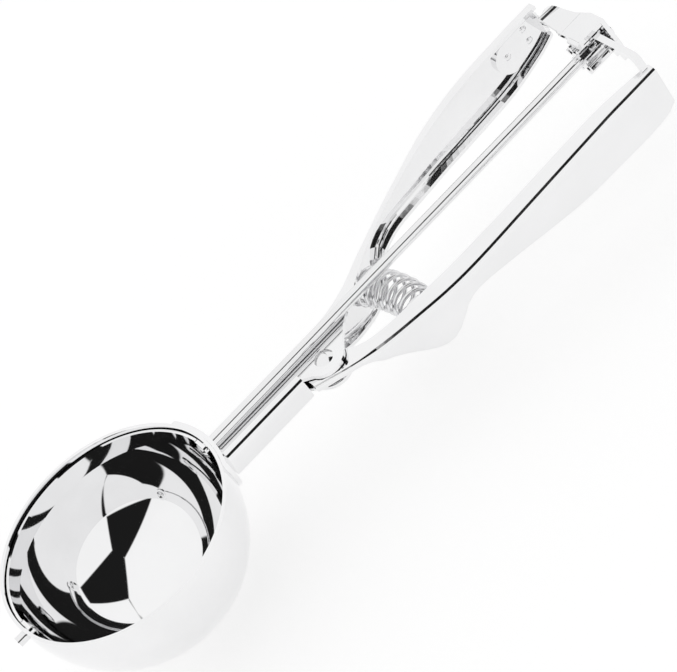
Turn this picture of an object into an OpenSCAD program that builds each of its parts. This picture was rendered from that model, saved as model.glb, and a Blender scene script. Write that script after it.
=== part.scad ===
// Lever ice cream scoop: a half-ball bowl with a thin sweeping blade, turned by a rod and pinion
// that a rack on the squeezed handle drives. All pieces are stainless steel.
// Frame: the origin is the centre of the bowl's sphere, on the centre line of the drive rod.
// +X runs along the rod to the handles' ends, +Z is the way the bowl opens.

/* [Bowl] */
// Inside radius of the bowl
bowl_r = 35; // [30:0.5:38]
// Thickness of the bowl's wall
bowl_wall = 1; // [0.8:0.1:1.4]
// Height of the rim above the rod's centre line
rim_h = 3.7; // [3.2:0.1:5]
// Radius of the round welded collar behind the bowl
saddle_r = 14; // [11.5:0.5:17]
// Thickness of the welded collar
saddle_wall = 1.2; // [0.8:0.1:2]

/* [Sweeping blade] */
// Width of the blade's band
blade_w = 5.5; // [4:0.1:6.2]
// Thickness of the blade
blade_wall = 0.8; // [0.6:0.1:1.2]
// Gap between the blade and the bowl
blade_gap = 0.34; // [0.3:0.02:0.6]
// Radius of the blade's two eyes
blade_eye_r = 3.6; // [3:0.1:3.8]
// Angle of the resting blade below the rim
blade_rest = 1.5; // [0.5:0.25:4]
// Radius of the pin that carries the blade at the bowl's nose
nose_pin_r = 1.6; // [1.3:0.05:1.8]
// Length of the nose pin outside the bowl
nose_pin_out = 2.8; // [2:0.1:4]

/* [Drive] */
// Diameter of the drive rod
rod_d = 3.5; // [3:0.1:3.8]
// Radial clearance of turning fits
run_fit = 0.06; // [0.03:0.01:0.1]
// Number of teeth on the pinion
pinion_teeth = 8; // [8:1:8]
// Tooth module of the pinion and the rack
tooth_module = 1.1; // [1.0:0.05:1.15]
// Length of the pinion
pinion_l = 9; // [8:0.1:9.2]
// Thickness of the rack
rack_wall = 2.1; // [1.6:0.1:2.6]
// Height of the rack's solid back above its teeth
rack_back = 1.6; // [1.2:0.1:2.2]
// Number of teeth on the rack
rack_teeth = 6; // [6:1:6]

/* [Handles] */
// Thickness of the handles' sheet
sheet = 1.2; // [1:0.05:1.4]
// Outer radius of the handles' folded edges
fold_r = 2.5; // [1.8:0.1:2.8]
// Half width of the stem behind the bowl
stem_half_w = 6.2; // [5.8:0.1:6.6]
// Depth of the stem
stem_h = 9.2; // [8.6:0.1:10.5]
// Length of the stem from the bowl's wall to its open end
stem_l = 30; // [28:0.5:34]
// Gap between the drive rod and the top of the stem
rod_over_stem = 0.45; // [0.4:0.05:1]

// Length of the handles behind their pivot
grip_l = 119.5; // [112:0.5:128]

/* [Pivot] */
// Distance of the handles' pivot behind the bowl's wall
pivot_back = 38.5; // [38:0.5:42]
// Distance of the pivot beside the rod
pivot_side = 6.6; // [6.4:0.1:7.2]
// Radius of the pivot rivet
rivet_r = 1.9; // [1.6:0.1:2.2]
// Radius of the rivet's head
rivet_head_r = 3; // [2.6:0.1:3.4]
// Height of the rivet's head
rivet_head_h = 1.1; // [0.8:0.1:1.4]
// Radius of the fixed handle's pivot ears
ear_r = 6.2; // [5.8:0.1:6.6]
// Radius of the squeeze handle's pivot ears
lever_ear_r = 5.4; // [4.6:0.1:5.6]
// Gap between a fixed ear and a moving ear
ear_gap = 0.3; // [0.25:0.05:0.4]
// Height between the outer faces of the fixed ears
ear_span = 6.4; // [6.2:0.1:6.8]

/* [Spring] */
// Diameter of the spring's wire
wire_d = 1.3; // [1.1:0.05:1.5]
// Outside diameter of the spring
spring_d = 12.2; // [11.4:0.1:12.4]
// Number of turns of the spring
spring_turns = 9; // [7:1:10]
// Depth of the spring's centre line below the rod
spring_drop = 9.4; // [9.3:0.1:9.6]
// Radius of the bosses that hold the spring's ends
boss_r = 4.1; // [3.6:0.1:4.3]
// Height of the bosses above their seats
boss_h = 1.8; // [1:0.1:2.4]

/* [Rear bracket] */
// Thickness of the bracket's sheet
bracket_wall = 1.4; // [1.2:0.05:1.5]
// Length of the bracket's top plate along the rod
bracket_l = 11; // [10:0.25:12]
// Gap between the rack and the plate above it
rack_gap = 0.3; // [0.25:0.05:0.6]
// Radius of the three small rivets
small_rivet_r = 1; // [0.8:0.1:1.2]

/* [Hidden] */

steel = [0.80, 0.81, 0.83];
steel_dark = [0.62, 0.63, 0.66];
spring_steel = [0.72, 0.73, 0.75];

// Where the main pieces sit along the rod
bowl_out = bowl_r + bowl_wall;
collar_out = bowl_out + saddle_wall;
stem_end = bowl_out + stem_l;
pivot_x = bowl_out + pivot_back;
pivot_y = -pivot_side;
stem_top = -rod_d / 2 - rod_over_stem;

// The rack stands on the squeeze handle, and its first tooth rests over the rod
rack_r = grip_l - 2;
pitch_r = tooth_module * pinion_teeth / 2;
tip_r = pitch_r + tooth_module * 0.9;
root_r = pitch_r - tooth_module * 1.2;
tooth_pitch = PI * tooth_module;
tooth_slope = 22;
backlash = 0.1;
rack_tip_z = pitch_r - tooth_module * 0.85;
rack_root_z = pitch_r + tooth_module * 1.15;
rack_top_z = rack_root_z + rack_back;
bracket_rear = pivot_x + rack_r + 4.8;
ear_face = bracket_rear - bracket_wall;
bracket_front = bracket_rear - bracket_l;
pinion_end = ear_face - 0.3;
plate_low = rack_top_z + rack_gap;
plate_top = plate_low + bracket_wall;
rod_end = bracket_rear + 2;
pad_front = bracket_rear - 22.1;
pad_rear = bracket_rear - 2.9;

// Lists give a handle's shape along its length: distance behind the pivot, then the value
fixed_start = stem_end - pivot_x;
lever_start = -7.6;
stations = 48;
rise_start = 10.5;
rise_end = grip_l - 9.5;
rise_h = 3.8;
function rise(d) = rise_h * min(max((d - rise_start) / (rise_end - rise_start), 0), 1);

// Fixed handle: outer face of its web beside the rod, lower edge, and width of its two flanges
fixed_web = [[-8.5, 6.2], [3.5, 6.4], [11.5, 7.4], [19.5, 9.6], [29, 14], [36, 17], [45, 20.8], [55, 24.6],
             [68, 29.2], [80, 31.9], [90, 33], [96, 33.2], [99, 33.2], [119.5, 33.2]];
fixed_low = [[-8.5, -11.4], [3.5, -13], [11.5, -16.4], [18, -18.2], [24, -19.4], [28, -18.6], [32, -14.2],
             [35.5, -10.2], [40, -9.1], [45, -9.4], [52, -11], [64, -14], [78, -16.5], [91, -17.2],
             [101, -16.4], [110, -14.4], [115, -13], [119.5, -11]];
fixed_flange = [[-8.5, 12.4], [-4.5, 16], [0, 19.1], [3, 18.5], [5.5, 15.8], [9.5, 11.2], [13.5, 8.4],
                [18.5, 6.6], [26, 4.8], [37, 3.5], [55, 3.5], [71, 4.2], [87, 4.6], [119.5, 4.4]];
fixed_floor = [[-8.5, 5], [5, 5], [16, 3.4], [27, 2.7], [34, 3.8], [42, 4.6], [119.5, 4.6]];

// Squeeze handle: the same values, on the other side of the rod
lever_web = [[-7.6, 10.5], [-2, 13], [3.5, 15.4], [10, 17.8], [16.3, 20], [25, 22.6], [33, 24.4], [41, 25.4],
             [50, 25.8], [64, 25.8], [119.5, 25.7]];
lever_top = [[-7.6, 0], [7, 0], [16, 0.8], [26, 1.95], [36, 2.5], [100, 4.9], [108, 4.9], [119.5, 4.9]];
lever_low = [[-7.6, -7.1], [6.9, -7.1], [10, -9.8], [14, -11.3], [18, -13.5], [22, -16.3], [25.5, -18.2],
             [28.5, -18.5], [31, -17.7], [34, -15.4], [37, -12.4], [40.5, -10.5], [45, -10.1], [52, -11],
             [60, -12.4], [71, -14.5], [83, -16.3], [95, -16.8], [105, -17.1], [111, -17], [115.5, -16.5],
             [118.5, -15.6], [119.5, -14.6]];
lever_flange = [[-7.6, 3.2], [-5.4, 4.6], [-4, 8.2], [0, 11.3], [4, 11.1], [5.4, 8.4], [8, 6.2], [12, 5.2],
                [20, 5.2], [27, 5.8], [34, 6.4], [52, 6.4], [64, 5.9], [92, 5.6], [104, 5], [112, 4.1],
                [116, 3.5], [119.5, 2.8]];

// Value of a list at distance d, on a smooth curve through its points
function span(list, d, i = 0) = i >= len(list) - 2 || d < list[i + 1][0] ? i : span(list, d, i + 1);
function slope(list, i) =
    let (a = max(i - 1, 0), b = min(i + 1, len(list) - 1)) (list[b][1] - list[a][1]) / (list[b][0] - list[a][0]);
function curve(list, d) =
    let (i = span(list, d), h = list[i + 1][0] - list[i][0], t = (d - list[i][0]) / h)
    list[i][1] * (1 + 2 * t) * (1 - t) * (1 - t) + list[i + 1][1] * t * t * (3 - 2 * t)
    + slope(list, i) * h * t * (1 - t) * (1 - t) - slope(list, i + 1) * h * t * t * (1 - t);

// Behind the spring the lists stretch with the handles' length
stretch_from = 40;
grip_drawn = 119.5;
function value(list, d) = curve(list, d < stretch_from ? d
    : stretch_from + (d - stretch_from) * (grip_drawn - stretch_from) / (grip_l - stretch_from));

fold_steps = 5;
// One edge of a channel's section: top flange, fold, web, fold, bottom flange.
// The first number is the depth from the web's outer face.
function half_ring(inset, r, top, low, d_top, d_low) = concat(
    [[d_top, top - inset]],
    [for (i = [0:fold_steps]) let (a = 90 * i / fold_steps)
        [inset + r - r * sin(a), top - inset - r + r * cos(a)]],
    [for (i = [0:fold_steps]) let (a = 90 * i / fold_steps)
        [inset + r - r * cos(a), low + inset + r - r * sin(a)]],
    [[d_low, low + inset]]);
function section(top, low, d_top, d_low) =
    let (r = min(fold_r, (top - low) * 0.44), inner = max(r - sheet, 0.15))
    [half_ring(0, r, top, low, d_top, d_low), half_ring(sheet, inner, top, low, d_top, d_low)];

// Channel of folded sheet. Each ring is [x, y of the web, way of the flanges, section].
module channel(rings) {
    n = len(rings[0][3][0]);
    points = [for (ring = rings, side = [0, 1], p = ring[3][side]) [ring[0], ring[1] + ring[2] * p[0], p[1]]];
    function id(k, side, i) = (k * 2 + side) * n + i;
    function quad(a, b, c, d) = [[a, b, c], [a, c, d]];
    last = len(rings) - 1;
    skins = [for (k = [0:last - 1], side = [0, 1], i = [0:n - 2])
        each side == 0
            ? quad(id(k, 0, i), id(k, 0, i + 1), id(k + 1, 0, i + 1), id(k + 1, 0, i))
            : quad(id(k, 1, i), id(k + 1, 1, i), id(k + 1, 1, i + 1), id(k, 1, i + 1))];
    lips = [for (k = [0:last - 1])
        each concat(quad(id(k, 1, 0), id(k, 0, 0), id(k + 1, 0, 0), id(k + 1, 1, 0)),
                    quad(id(k, 0, n - 1), id(k, 1, n - 1), id(k + 1, 1, n - 1), id(k + 1, 0, n - 1)))];
    caps = [for (i = [0:n - 2])
        each concat(quad(id(0, 0, i), id(0, 1, i), id(0, 1, i + 1), id(0, 0, i + 1)),
                    quad(id(last, 0, i), id(last, 0, i + 1), id(last, 1, i + 1), id(last, 1, i)))];
    faces = concat(skins, lips, caps);
    polyhedron(points, rings[0][2] < 0 ? faces : [for (f = faces) [f[0], f[2], f[1]]]);
}

module rod_bore(x0, x1, r) translate([x0, 0, 0]) rotate([0, 90, 0]) cylinder(r = r, h = x1 - x0, $fn = 48);

module bowl() color(steel) difference() {
    sphere(r = bowl_out, $fn = 96);
    sphere(r = bowl_r, $fn = 96);
    translate([-2 * bowl_out, -2 * bowl_out, rim_h]) cube([4 * bowl_out, 4 * bowl_out, 2 * bowl_out]);
    rod_bore(0, 2 * bowl_r, rod_d / 2 + run_fit);
    rod_bore(-2 * bowl_r, 0, nose_pin_r + run_fit);
}

// Round plate between bowl and stem, curved to the bowl
module bowl_collar() color(steel) difference() {
    rotate([0, 90, 0]) rotate_extrude($fn = 96) intersection() {
        difference() {
            circle(r = collar_out, $fn = 128);
            circle(r = bowl_out, $fn = 128);
        }
        translate([0, bowl_r / 2]) square([saddle_r, bowl_r]);
    }
    translate([0, -collar_out, rim_h - 0.2]) cube([2 * collar_out, 2 * collar_out, collar_out]);
    rod_bore(0, 2 * collar_out, rod_d / 2 + run_fit);
}

// Closed stem with the same folds as the channel behind it, cut to the collar's curve at its front
function stem_side(inset, r) = [for (p = half_ring(inset, r, stem_top, stem_top - stem_h, stem_half_w, stem_half_w))
    [stem_half_w - p[0], p[1]]];
function stem_loop(inset, r) =
    let (side = stem_side(inset, r))
    concat(side, [for (i = [len(side) - 2:-1:1]) [-side[i][0], side[i][1]]]);
stem_from = bowl_r * 0.8;
module stem() difference() {
    translate([stem_from, 0, 0]) rotate([90, 0, 90]) linear_extrude(stem_end - stem_from) difference() {
        polygon(stem_loop(0, fold_r));
        polygon(stem_loop(sheet, fold_r - sheet));
    }
    sphere(r = collar_out, $fn = 96);
}

function fixed_ring(d) = [pivot_x + d, value(fixed_web, d), -1,
    section(stem_top + rise(d), value(fixed_low, d), value(fixed_flange, d), value(fixed_floor, d))];

// The spring bends about a point between the handles, so that it meets both webs squarely
bend_r = 48.4;
bend_x = pivot_x - 19.4;
bend_y = pivot_y - 2.2;
seat_angle_fixed = 24.2;
seat_angle_lever = -15.7;
seat_h = 0.5;
coil_r = (spring_d - wire_d) / 2;

// Pressed seat and boss for one end of the spring. side is 1 for the fixed handle, -1 for the other.
seat_in = 0.5;
coil_from = seat_angle_lever + seat_h / bend_r * 180 / PI;
coil_to = seat_angle_fixed - seat_h / bend_r * 180 / PI;
module spring_seat(angle, side) translate([bend_x, bend_y, -spring_drop]) rotate([0, 0, angle])
    translate([bend_r, side * (seat_h + seat_in), 0]) rotate([side * 90, 0, 0]) {
        cylinder(r = spring_d / 2 + 0.2, h = seat_in + seat_h, $fn = 64);
        cylinder(r = boss_r, h = seat_in + seat_h + boss_h, $fn = 64);
    }

module lug_plate(z) translate([0, 0, z]) linear_extrude(sheet) {
    translate([pivot_x, pivot_y]) circle(r = ear_r, $fn = 64);
    polygon([[stem_end - 8, stem_half_w - 1], [stem_end - 8, 1 - stem_half_w], [stem_end, 1 - stem_half_w],
             [pivot_x - ear_r * 0.8, pivot_y - ear_r * 0.6], [pivot_x + ear_r, pivot_y],
             [pivot_x + ear_r, stem_half_w - 0.6]]);
}

// Places of the bracket's three small rivets: distance ahead of the bracket's rear, and height
bracket_rivet_at = [[9.1, -2.8], [9.2, -7.6], [17.5, -6.2]];
pad_y = value(fixed_web, grip_l) - sheet;
module at_bracket_rivets() for (p = bracket_rivet_at)
    translate([bracket_rear - p[0], 0, p[1]]) rotate([-90, 0, 0]) children();

module fixed_handle() color(steel) difference() {
    union() {
        stem();
        channel([for (i = [0:stations]) fixed_ring(fixed_start + (grip_l - fixed_start) * i / stations)]);
        translate([pivot_x, pivot_y, stem_top - sheet]) cylinder(r = ear_r, h = sheet, $fn = 64);
        lug_plate(stem_top - ear_span);
        spring_seat(coil_to, 1);
    }
    translate([pivot_x, pivot_y, stem_top - 10]) cylinder(r = rivet_r, h = 20, $fn = 48);
    at_bracket_rivets() cylinder(r = small_rivet_r, h = 2 * pad_y, $fn = 32);
}

// Low round head: a slice of a ball
module dome(r, h) {
    ball = (r * r + h * h) / (2 * h);
    intersection() {
        translate([0, 0, h - ball]) sphere(r = ball, $fn = 48);
        cylinder(r = r + 1, h = h + 1, $fn = 48);
    }
}

module pivot_rivet() color(steel_dark) translate([pivot_x, pivot_y, 0]) {
    translate([0, 0, stem_top - ear_span]) cylinder(r = rivet_r, h = ear_span, $fn = 48);
    translate([0, 0, stem_top]) dome(rivet_head_r, rivet_head_h);
    translate([0, 0, stem_top - ear_span]) mirror([0, 0, 1]) dome(rivet_head_r, rivet_head_h * 0.8);
}

lever_top_z = stem_top - sheet - ear_gap;
lever_low_z = stem_top - ear_span + sheet + ear_gap;
function lever_ring(d) = [pivot_x + d, -value(lever_web, d), 1,
    section(lever_top_z + value(lever_top, d), value(lever_low, d), value(lever_flange, d),
            value(lever_flange, d))];

module squeeze_handle() color(steel) difference() {
    union() {
        channel([for (i = [0:stations]) lever_ring(lever_start + (grip_l - lever_start) * i / stations)]);
        for (z = [lever_top_z - sheet, lever_low_z])
            translate([pivot_x, pivot_y, z]) cylinder(r = lever_ear_r, h = sheet, $fn = 64);
        spring_seat(coil_from, -1);
    }
    translate([pivot_x, pivot_y, stem_top - 10]) cylinder(r = rivet_r + run_fit, h = 20, $fn = 48);
}

// Rear bracket: the arm leaves its pad upright and twists until it lies flat over the rack.
// Its lower edge becomes the plate's front edge. Places along x are distances ahead of the bracket's rear.
arm_low_x = [[-31, 3.6], [-25.5, 4.6], [-21, 6.2], [-18, 7.8], [-14.4, 8.8], [-8, 9.4], [-2, 9.8]];
arm_low_z = [[-31, -9.5], [-25.5, -6], [-21, 0.2], [-18, 5.6], [-14.4, 8.3], [-8, 8.4], [-2, 8.3]];
arm_high_x = [[-31, 4.2], [-25.5, 3.8], [-21, 3.5], [-18, 3.3], [-14.4, 3.1], [-8, 2.5], [-2, 1.4]];
arm_high_z = [[-31, -3], [-25.5, 0], [-21, 4], [-18, 6.4], [-14.4, 8], [-8, 8.5], [-2, 8.3]];
arm_wall = bracket_wall - 0.1;

function arm_edge(x, z, y) = [bracket_rear - curve(x, y), -y, curve(z, y)];
function unit(v) = v / norm(v);
function arm_ring(y) =
    let (low = arm_edge(arm_low_x, arm_low_z, y), high = arm_edge(arm_high_x, arm_high_z, y),
         middle = (arm_edge(arm_low_x, arm_low_z, y + 0.5) + arm_edge(arm_high_x, arm_high_z, y + 0.5)) / 2,
         out = unit(cross(high - low, middle - (low + high) / 2)) * arm_wall / 2)
    [low + out, low - out, high - out, high + out];

module tube_of_rings(rings) {
    n = len(rings[0]);
    last = len(rings) - 1;
    sides = [for (k = [0:last - 1], i = [0:n - 1])
        let (j = (i + 1) % n, a = k * n + i, b = k * n + j, c = a + n, d = b + n)
        each [[a, b, d], [a, d, c]]];
    ends = [for (i = [1:n - 2]) each [[0, i + 1, i], [last * n, last * n + i, last * n + i + 1]]];
    polyhedron([for (ring = rings) each ring], concat(sides, ends));
}

// The pad fills the flat of the handle's web between its folds
pad_margin = fold_r + 0.3;
pad_middle = -7;
pad_nose_r = 5.5;
function pad_top(x) = stem_top + rise(x - pivot_x) - pad_margin;
function pad_low(x) = max(value(fixed_low, x - pivot_x) + pad_margin, pad_middle - pad_nose_r);
module bracket_pad() difference() {
    translate([0, pad_y - bracket_wall, 0]) rotate([-90, 0, 0]) linear_extrude(bracket_wall) mirror([0, 1]) {
        translate([pad_front + pad_nose_r, pad_middle]) circle(r = pad_nose_r, $fn = 64);
        polygon(concat(
            [[pad_front + pad_nose_r, pad_middle + pad_nose_r], [pad_rear - 1, pad_top(pad_rear - 1)],
             [pad_rear, pad_top(pad_rear) - 0.8]],
            [for (x = [pad_rear, pad_rear - 1.5, pad_rear - 3, pad_rear - 5, pad_rear - 8])
                [x, pad_low(x)]],
            [[pad_front + pad_nose_r, pad_middle - pad_nose_r]]));
    }
    at_bracket_rivets() cylinder(r = small_rivet_r, h = 2 * pad_y, $fn = 32);
}

// Ear that hangs behind the pinion and carries the rod's end
module bracket_ear() difference() {
    translate([ear_face, 0, 0]) rotate([90, 0, 90]) linear_extrude(bracket_wall) {
        circle(r = 5.3, $fn = 64);
        translate([-2.3, -0.4]) circle(r = 5.3, $fn = 64);
        polygon([[-5, plate_top], [0.5, plate_top], [5.2, 0], [0, -5.2], [-2.3, -5.6], [-7.5, -0.4]]);
    }
    rod_bore(bracket_front, rod_end, rod_d / 2 + run_fit);
}

module rear_bracket() color(steel) {
    bracket_pad();
    tube_of_rings([for (y = [-31:1.3:-3.7]) arm_ring(y)]);
    translate([0, 0, plate_low]) linear_extrude(bracket_wall)
        polygon([[bracket_front + 1, -5], [bracket_rear - 1, -5], [bracket_rear, -4], [bracket_rear, 0.5],
                 [bracket_rear - 1, 3], [bracket_rear - 2, 5.5], [bracket_front + 1, 5.5]]);
    translate([bracket_front + 1.1, 0, plate_low + 0.4]) rotate([90, 0, 0]) cylinder(r = 1.1, h = 5, $fn = 32);
    bracket_ear();
}

module bracket_rivets() color(steel_dark) at_bracket_rivets() {
    translate([0, 0, pad_y - bracket_wall]) cylinder(r = small_rivet_r, h = bracket_wall + sheet, $fn = 32);
    translate([0, 0, pad_y - bracket_wall]) mirror([0, 0, 1]) dome(small_rivet_r + 0.15, 0.45);
}

// Rack: a straight strip on a leg, its teeth pointing down at the pinion
rack_backlash = 0.18;
rack_end = -24.2;
rack_foot_z = lever_top_z + value(lever_top, rack_r);
module rack_tooth() {
    half = tooth_pitch / 4 - rack_backlash;
    tip = half - (pitch_r - rack_tip_z) * tan(tooth_slope);
    root = half + (rack_root_z - pitch_r) * tan(tooth_slope);
    polygon([[-tip, rack_tip_z], [tip, rack_tip_z], [root, rack_root_z], [root, rack_root_z + 0.5],
             [-root, rack_root_z + 0.5], [-root, rack_root_z]]);
}

module rack() color(steel) translate([pivot_x + rack_r - rack_wall / 2, 0, 0]) rotate([90, 0, 90])
    linear_extrude(rack_wall) {
        polygon([[tooth_pitch * 0.46, rack_root_z], [tooth_pitch * 0.46, rack_top_z - 0.5],
                 [tooth_pitch * 0.46 - 0.5, rack_top_z], [rack_end + 2.4, rack_top_z],
                 [rack_end + 1.2, rack_top_z - 0.5], [rack_end + 0.5, rack_top_z - 1.5],
                 [rack_end, rack_foot_z + 0.8], [rack_end + 0.7, rack_foot_z],
                 [rack_end + 1.9, rack_foot_z], [rack_end + 2.3, rack_root_z - 1],
                 [rack_end + 3.2, rack_root_z]]);
        for (i = [0:rack_teeth - 1]) translate([-i * tooth_pitch, 0]) rack_tooth();
    }

// Return spring: one wire wound about an arc between the two webs, with straight ends
end_gap = 0.03;
coil_l = (coil_to - coil_from) * PI / 180 * bend_r - 2 * end_gap;
curl_rings = 8;
wire_sides = 6;
coil_rings = curl_rings * spring_turns;
coil_start = 250;
// Each station is [distance along the spring's centre line, angle round it]
coil_stations = concat(
    [[0, 0], [wire_d, 0]],
    [for (k = [1:coil_rings - 1]) [wire_d + (coil_l - 2 * wire_d) * k / coil_rings, 360 * k / curl_rings]],
    [[coil_l - wire_d, 360 * spring_turns], [coil_l, 360 * spring_turns]]);
function coil_angle(s) = coil_from + (s[0] + end_gap) / bend_r * 180 / PI;
function spring_point(s) =
    let (a = coil_angle(s), b = coil_start + s[1], r = bend_r + coil_r * cos(b))
    [bend_x + r * cos(a), bend_y + r * sin(a), coil_r * sin(b) - spring_drop];
function spring_axis(s) = let (a = coil_angle(s)) [-sin(a), cos(a), 0];
function spring_out(s) =
    let (a = coil_angle(s), b = coil_start + s[1])
    [cos(b) * cos(a), cos(b) * sin(a), sin(b)];
coil_points = [for (s = coil_stations) spring_point(s)];
coil_last = len(coil_points) - 1;
function wire_ring(k) =
    let (s = coil_stations[k],
         along = k == 0 || k == coil_last ? spring_axis(s) : unit(coil_points[k + 1] - coil_points[k - 1]),
         out = unit(spring_out(s) - along * (spring_out(s) * along)),
         side = cross(along, out))
    [for (i = [0:wire_sides - 1]) let (t = 360 * i / wire_sides)
        coil_points[k] + wire_d / 2 * (cos(t) * out + sin(t) * side)];
coil_gap = min([for (i = [0:coil_last - 5], j = [i + 5:coil_last]) norm(coil_points[i] - coil_points[j])]) - wire_d;

module return_spring() color(spring_steel) {
    echo("least gap between the spring's turns", coil_gap);
    tube_of_rings([for (k = [0:coil_last]) wire_ring(k)]);
}

module drive_rod() color(steel) {
    rod_bore(blade_r - blade_eye_wall - 0.1, rod_end, rod_d / 2);
    translate([blade_r - blade_eye_wall - 0.1, 0, 0]) rotate([0, -90, 0]) dome(rod_d / 2 + 0.9, 0.9);
}

module nose_pin() color(steel) mirror([1, 0, 0]) {
    rod_bore(blade_r - blade_eye_wall - 0.1, bowl_out + nose_pin_out, nose_pin_r);
    translate([blade_r - blade_eye_wall - 0.1, 0, 0]) rotate([0, -90, 0]) dome(nose_pin_r + 0.9, 0.9);
}

// Pinion with involute teeth, a gap uppermost where the rack's first tooth rests
base_r = pitch_r * cos(tooth_slope);
flank_steps = 5;
function involute(a) = tan(a) * 180 / PI - a;
function tooth_half(r) =
    90 / pinion_teeth - backlash * 0.6 / pitch_r * 180 / PI + involute(tooth_slope)
    - (r > base_r ? involute(acos(base_r / r)) : (base_r - r) * 8);
function at(r, a) = [r * cos(a), r * sin(a)];
module pinion() color(steel) difference() {
    translate([pinion_end - pinion_l, 0, 0]) rotate([90, 0, 90]) linear_extrude(pinion_l) polygon([
        for (i = [0:pinion_teeth - 1]) let (middle = 90 + (i + 0.5) * 360 / pinion_teeth)
            each concat(
                [for (j = [0:flank_steps]) let (r = root_r + (tip_r - root_r) * j / flank_steps)
                    at(r, middle - tooth_half(r))],
                [for (j = [flank_steps:-1:0]) let (r = root_r + (tip_r - root_r) * j / flank_steps)
                    at(r, middle + tooth_half(r))])]);
    rod_bore(bracket_front - 2, rod_end, rod_d / 2);
}

// Blade: a half ring of strip with a flat eye at each end
blade_r = sqrt(pow(bowl_r - blade_gap, 2) - pow(blade_w / 2, 2));
blade_eye_wall = blade_wall + 0.3;
module sweeper_blade() color(steel) difference() {
    rotate([-blade_rest, 0, 0]) union() {
        translate([0, 0, -blade_w / 2]) intersection() {
            difference() {
                cylinder(r = blade_r, h = blade_w, $fn = 128);
                translate([0, 0, -1]) cylinder(r = blade_r - blade_wall, h = blade_w + 2, $fn = 128);
            }
            translate([-2 * bowl_r, 0, -1]) cube([4 * bowl_r, 2 * bowl_r, blade_w + 2]);
        }
        for (x = [blade_r - blade_eye_wall - 0.1, -blade_r + 0.1]) rod_bore(x, x + blade_eye_wall, blade_eye_r);
    }
    rod_bore(0, 2 * bowl_r, rod_d / 2);
    rod_bore(-2 * bowl_r, 0, nose_pin_r);
}

bowl();
bowl_collar();
fixed_handle();
rear_bracket();
bracket_rivets();
pivot_rivet();
squeeze_handle();
rack();
return_spring();
drive_rod();
pinion();
sweeper_blade();
nose_pin();
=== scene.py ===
from math import cos, pi, radians, sin

import bpy
from mathutils import Matrix, Vector


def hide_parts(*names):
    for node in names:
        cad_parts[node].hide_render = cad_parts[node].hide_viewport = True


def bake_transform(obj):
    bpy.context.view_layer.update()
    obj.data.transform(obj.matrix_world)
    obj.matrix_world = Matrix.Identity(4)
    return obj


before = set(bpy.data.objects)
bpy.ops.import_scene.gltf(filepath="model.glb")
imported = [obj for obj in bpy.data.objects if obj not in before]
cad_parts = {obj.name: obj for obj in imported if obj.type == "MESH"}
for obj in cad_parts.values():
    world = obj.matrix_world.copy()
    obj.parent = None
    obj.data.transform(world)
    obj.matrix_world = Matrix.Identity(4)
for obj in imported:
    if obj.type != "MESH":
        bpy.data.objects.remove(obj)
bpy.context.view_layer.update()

MM = 0.001

# ---------------------------------------------------------------- camera
CAMERA_AT = Vector((-31.3, -600.3, 534.1)) * MM
CAMERA_TARGET = Vector((81.5, -7.2, 0.0)) * MM
CAMERA_ROLL = radians(-38.9)
LENS = 156.2
SENSOR = 36.0
NEAREST_SEEN = 10 * MM


def make_camera():
    data = bpy.data.cameras.new("camera")
    data.lens = LENS
    data.sensor_width = SENSOR
    data.clip_start = NEAREST_SEEN
    cam = bpy.data.objects.new("camera", data)
    bpy.context.scene.collection.objects.link(cam)
    aim = (CAMERA_TARGET - CAMERA_AT).to_track_quat("-Z", "Y").to_matrix()
    turned = aim @ Matrix.Rotation(CAMERA_ROLL, 3, "Z")
    cam.matrix_world = Matrix.Translation(CAMERA_AT) @ turned.to_4x4()
    bpy.context.scene.camera = cam


# ---------------------------------------------------------------- materials
def node(tree, kind, **values):
    made = tree.nodes.new(kind)
    for name, value in values.items():
        if name in made.inputs:
            made.inputs[name].default_value = value
        else:
            setattr(made, name, value)
    return made


def join(tree, operation, first, second):
    made = node(tree, "ShaderNodeMath", operation=operation)
    tree.links.new(first, made.inputs[0])
    tree.links.new(second, made.inputs[1])
    return made.outputs["Value"]


def map_range(tree, value, start, end, low=0.0, high=1.0, kind="LINEAR"):
    made = node(tree, "ShaderNodeMapRange", interpolation_type=kind)
    tree.links.new(value, made.inputs["Value"])
    for name, number in (("From Min", start), ("From Max", end), ("To Min", low), ("To Max", high)):
        made.inputs[name].default_value = number
    return made.outputs["Result"]


# Wipe marks: how fine they are, the part of the noise that counts, and how much they dull the colour
WIPE_SCALE = 38.0
WIPE_FROM = 0.35
WIPE_TO = 0.65
WIPE_SHADE = 0.965
# The product of the two noises runs over this range
BLEND_FROM = 0.1
BLEND_TO = 0.45
GRAIN_DEPTH = 0.04 * MM


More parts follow.
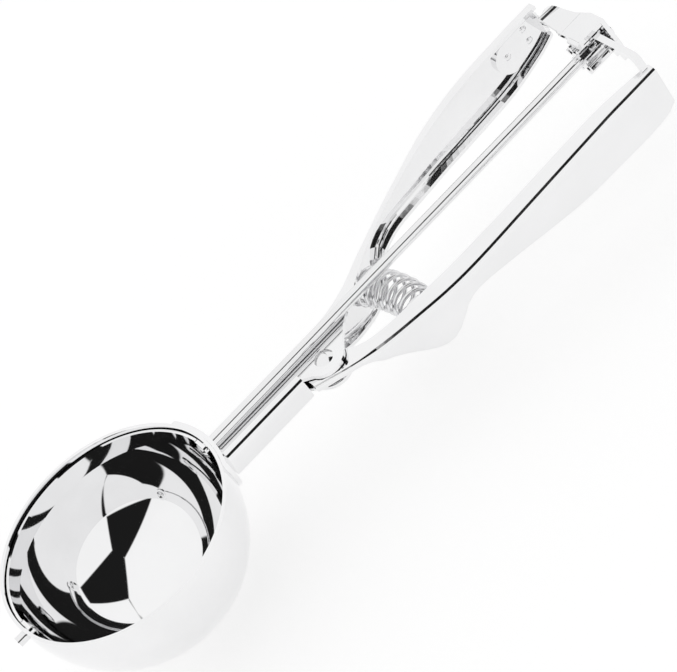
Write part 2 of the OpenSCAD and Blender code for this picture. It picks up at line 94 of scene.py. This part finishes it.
def steel(name, colour, rough, rough_spread, stretch=(1, 1, 1), grain=900, bump=0.02):
    """Polished steel: fine drawn grain in its roughness and height, and faint cloudy wipe marks."""
    mat = bpy.data.materials.new(name)
    mat.use_nodes = True
    tree = mat.node_tree
    shader = tree.nodes["Principled BSDF"]
    shader.inputs["Metallic"].default_value = 1.0
    place = node(tree, "ShaderNodeTexCoord")
    scale = node(tree, "ShaderNodeMapping")
    scale.inputs["Scale"].default_value = stretch
    tree.links.new(place.outputs["Object"], scale.inputs["Vector"])
    fine = node(tree, "ShaderNodeTexNoise", Scale=grain, Detail=3.0, Roughness=0.6)
    tree.links.new(scale.outputs["Vector"], fine.inputs["Vector"])
    cloud = node(tree, "ShaderNodeTexNoise", Scale=WIPE_SCALE, Detail=4.0, Roughness=0.55)
    tree.links.new(place.outputs["Object"], cloud.inputs["Vector"])
    both = join(tree, "MULTIPLY", fine.outputs["Fac"], cloud.outputs["Fac"])
    dulled = map_range(tree, both, BLEND_FROM, BLEND_TO, rough, rough + rough_spread)
    tree.links.new(dulled, shader.inputs["Roughness"])
    # The inputs of a colour's range have the same names as a number's, so they go by their places
    tint = node(tree, "ShaderNodeMapRange", data_type="FLOAT_VECTOR")
    tint.inputs[7].default_value = (WIPE_FROM,) * 3
    tint.inputs[8].default_value = (WIPE_TO,) * 3
    tint.inputs[9].default_value = [c * WIPE_SHADE for c in colour]
    tint.inputs[10].default_value = colour
    tree.links.new(cloud.outputs["Fac"], tint.inputs[6])
    tree.links.new(tint.outputs[1], shader.inputs["Base Color"])
    height = node(tree, "ShaderNodeBump", Strength=bump, Distance=GRAIN_DEPTH)
    tree.links.new(fine.outputs["Fac"], height.inputs["Height"])
    tree.links.new(height.outputs["Normal"], shader.inputs["Normal"])
    return mat


def paint(material, *nodes):
    for name in nodes:
        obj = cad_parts[name]
        obj.data.materials.clear()
        obj.data.materials.append(material)


def paint_all():
    mirror = steel("mirror_steel", (0.90, 0.90, 0.905), 0.015, 0.03, bump=0.01)
    pressed = steel("pressed_steel", (0.89, 0.89, 0.895), 0.04, 0.06, stretch=(0.25, 1, 1))
    turned = steel("turned_steel", (0.86, 0.86, 0.865), 0.06, 0.08, stretch=(2, 1, 1), grain=1400)
    wire = steel("drawn_wire", (0.80, 0.80, 0.81), 0.06, 0.08, grain=1200)
    paint(mirror, "bowl", "sweeper_blade", "bowl_collar")
    paint(pressed, "fixed_handle", "squeeze_handle", "rear_bracket", "rack")
    paint(turned, "drive_rod", "pinion", "nose_pin", "pivot_rivet", "bracket_rivets")
    make_spring(wire)


SHARP_ANGLE = radians(32)


def smooth_faces():
    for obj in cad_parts.values():
        chosen = {"object": obj, "active_object": obj, "selected_editable_objects": [obj]}
        with bpy.context.temp_override(**chosen):
            bpy.ops.object.shade_auto_smooth(angle=SHARP_ANGLE)


# ---------------------------------------------------------------- spring
# The wire runs as the CAD spring does, about an arc in the handles' plane, but is round and smooth
BEND_CENTRE = Vector((55.1, -8.8, -9.4)) * MM
BEND_R = 48.4 * MM
SPRING_FROM = radians(-15.08)
SPRING_TO = radians(23.58)
COIL_R = 5.45 * MM
WIRE_R = 0.65 * MM
TURNS = 9
RINGS_PER_TURN = 28
WIRE_SIDES = 16
COIL_START = radians(250)
# Share of the line at each end where the wire runs straight
STRAIGHT_END = 0.04
UP = Vector((0, 0, 1))


def spring_point(share):
    wound = min(max((share - STRAIGHT_END) / (1 - 2 * STRAIGHT_END), 0), 1)
    angle = SPRING_FROM + (SPRING_TO - SPRING_FROM) * share
    turn = COIL_START + 2 * pi * TURNS * wound
    r = BEND_R + COIL_R * cos(turn)
    return BEND_CENTRE + Vector((r * cos(angle), r * sin(angle), COIL_R * sin(turn)))


def make_spring(material):
    count = RINGS_PER_TURN * TURNS
    centres = [spring_point(k / count) for k in range(count + 1)]
    points = []
    for k, centre in enumerate(centres):
        along = (centres[min(k + 1, count)] - centres[max(k - 1, 0)]).normalized()
        across = along.cross(UP).normalized()
        up = across.cross(along)
        for i in range(WIRE_SIDES):
            t = 2 * pi * i / WIRE_SIDES
            points.append(centre + WIRE_R * (cos(t) * across + sin(t) * up))
    faces = [list(range(WIRE_SIDES))[::-1], [count * WIRE_SIDES + i for i in range(WIRE_SIDES)]]
    for k in range(count):
        for i in range(WIRE_SIDES):
            j = (i + 1) % WIRE_SIDES
            row, after = k * WIRE_SIDES, (k + 1) * WIRE_SIDES
            faces.append((row + i, row + j, after + j, after + i))
    mesh = bpy.data.meshes.new("coil_spring")
    mesh.from_pydata(points, [], faces)
    for face in mesh.polygons:
        face.use_smooth = len(face.vertices) == 4
    spring = bpy.data.objects.new("coil_spring", mesh)
    bpy.context.scene.collection.objects.link(spring)
    mesh.materials.append(material)
    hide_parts("return_spring")
    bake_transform(spring)


# ---------------------------------------------------------------- floor and studio
FLOOR_DROP = -36.1 * MM
FLOOR_SIZE = 6.0
FLOOR_MIDDLE = 100 * MM
FLOOR_COLOUR = 0.86
FLOOR_SHARE = 0.42
FLOOR_LIFT = 0.66


def make_floor():
    bpy.ops.mesh.primitive_plane_add(size=FLOOR_SIZE, location=(FLOOR_MIDDLE, 0, FLOOR_DROP))
    floor = bpy.context.object
    floor.name = "floor"
    mat = bpy.data.materials.new("floor")
    mat.use_nodes = True
    tree = mat.node_tree
    tree.nodes.remove(tree.nodes["Principled BSDF"])
    path = node(tree, "ShaderNodeLightPath")
    plain = node(tree, "ShaderNodeBsdfDiffuse", Color=(FLOOR_COLOUR,) * 3 + (1,))
    shade = node(tree, "ShaderNodeBsdfDiffuse", Color=(FLOOR_SHARE,) * 3 + (1,))
    white = node(tree, "ShaderNodeEmission", Strength=FLOOR_LIFT)
    seen = node(tree, "ShaderNodeAddShader")
    tree.links.new(shade.outputs["BSDF"], seen.inputs[0])
    tree.links.new(white.outputs["Emission"], seen.inputs[1])
    looking = path.outputs["Is Camera Ray"]
    for ray in ("Is Glossy Ray", "Is Transmission Ray"):
        looking = join(tree, "MAXIMUM", looking, path.outputs[ray])
    view = node(tree, "ShaderNodeMixShader")
    tree.links.new(looking, view.inputs["Fac"])
    tree.links.new(plain.outputs["BSDF"], view.inputs[1])
    tree.links.new(seen.outputs["Shader"], view.inputs[2])
    tree.links.new(view.outputs["Shader"], tree.nodes["Material Output"].inputs["Surface"])
    floor.data.materials.append(mat)


# The studio is a white tent. Its dark cards, each a convex patch of sky, are given by their corners
# as height above the horizon and bearing from +X, in degrees, and by how soft their edges are.
DARK_PATCHES = [
    ([(62, 4), (31.6, -7), (26, -24), (44, -77.4), (57.4, -79)], 0.012),
    ([(57.4, -79), (44, -77.4), (19, -99.7), (20.4, -147.7)], 0.012),
    ([(57, -75), (45, -74), (42.8, -81), (55.8, -83)], 0.012),
    ([(62, 4), (61, 6), (51, 40), (52.2, 37)], 0.010),
    ([(52.4, 37), (51, 40), (6, 88), (6, 74)], 0.020),
]


def sky_point(height, bearing):
    h, b = radians(height), radians(bearing)
    return Vector((cos(h) * cos(b), cos(h) * sin(b), sin(h)))


def dot_product(tree, way, direction):
    dot = node(tree, "ShaderNodeVectorMath", operation="DOT_PRODUCT")
    tree.links.new(way, dot.inputs[0])
    dot.inputs[1].default_value = direction
    return dot.outputs["Value"]


def dark_patch(tree, way, corners, soft):
    """1 inside the patch and 0 outside: the least of its distances from the planes of its edges."""
    points = [sky_point(*c) for c in corners]
    centre = sum(points, Vector()).normalized()
    least = None
    for i, point in enumerate(points):
        normal = points[(i + 1) % len(points)].cross(point).normalized()
        if normal.dot(centre) < 0:
            normal = -normal
        side = map_range(tree, dot_product(tree, way, normal), -soft, soft, kind="SMOOTHSTEP")
        least = side if least is None else join(tree, "MINIMUM", least, side)
    return least


# The tent is brightest overhead and in front, and greyer behind the object. Each bright part is a
# direction, with the cosines of the angle from it at which the grey starts and the white is reached
TENT_GREY = 0.60
TENT_WHITE = 1.0
BRIGHT_PARTS = [
    (sky_point(-35, -88), 0.25, 0.85),
    (UP, -0.25, 0.2),
]
DARK = 0.012


def tent_level(tree, way):
    best = None
    for direction, start, end in BRIGHT_PARTS:
        toward = dot_product(tree, way, direction)
        level = map_range(tree, toward, start, end, TENT_GREY, TENT_WHITE, kind="SMOOTHSTEP")
        best = level if best is None else join(tree, "MAXIMUM", best, level)
    return best


def make_world():
    world = bpy.data.worlds.new("studio")
    bpy.context.scene.world = world
    world.use_nodes = True
    tree = world.node_tree
    way = node(tree, "ShaderNodeTexCoord").outputs["Generated"]
    dark = None
    for corners, soft in DARK_PATCHES:
        patch = dark_patch(tree, way, corners, soft)
        dark = patch if dark is None else join(tree, "MAXIMUM", dark, patch)
    level = node(tree, "ShaderNodeMapRange")
    level.inputs["To Max"].default_value = DARK
    tree.links.new(dark, level.inputs["Value"])
    tree.links.new(tent_level(tree, way), level.inputs["To Min"])
    tree.links.new(level.outputs["Result"], tree.nodes["Background"].inputs["Color"])


def main():
    smooth_faces()
    paint_all()
    make_floor()
    make_world()
    make_camera()
    bpy.context.scene.view_settings.view_transform = "Standard"


main()
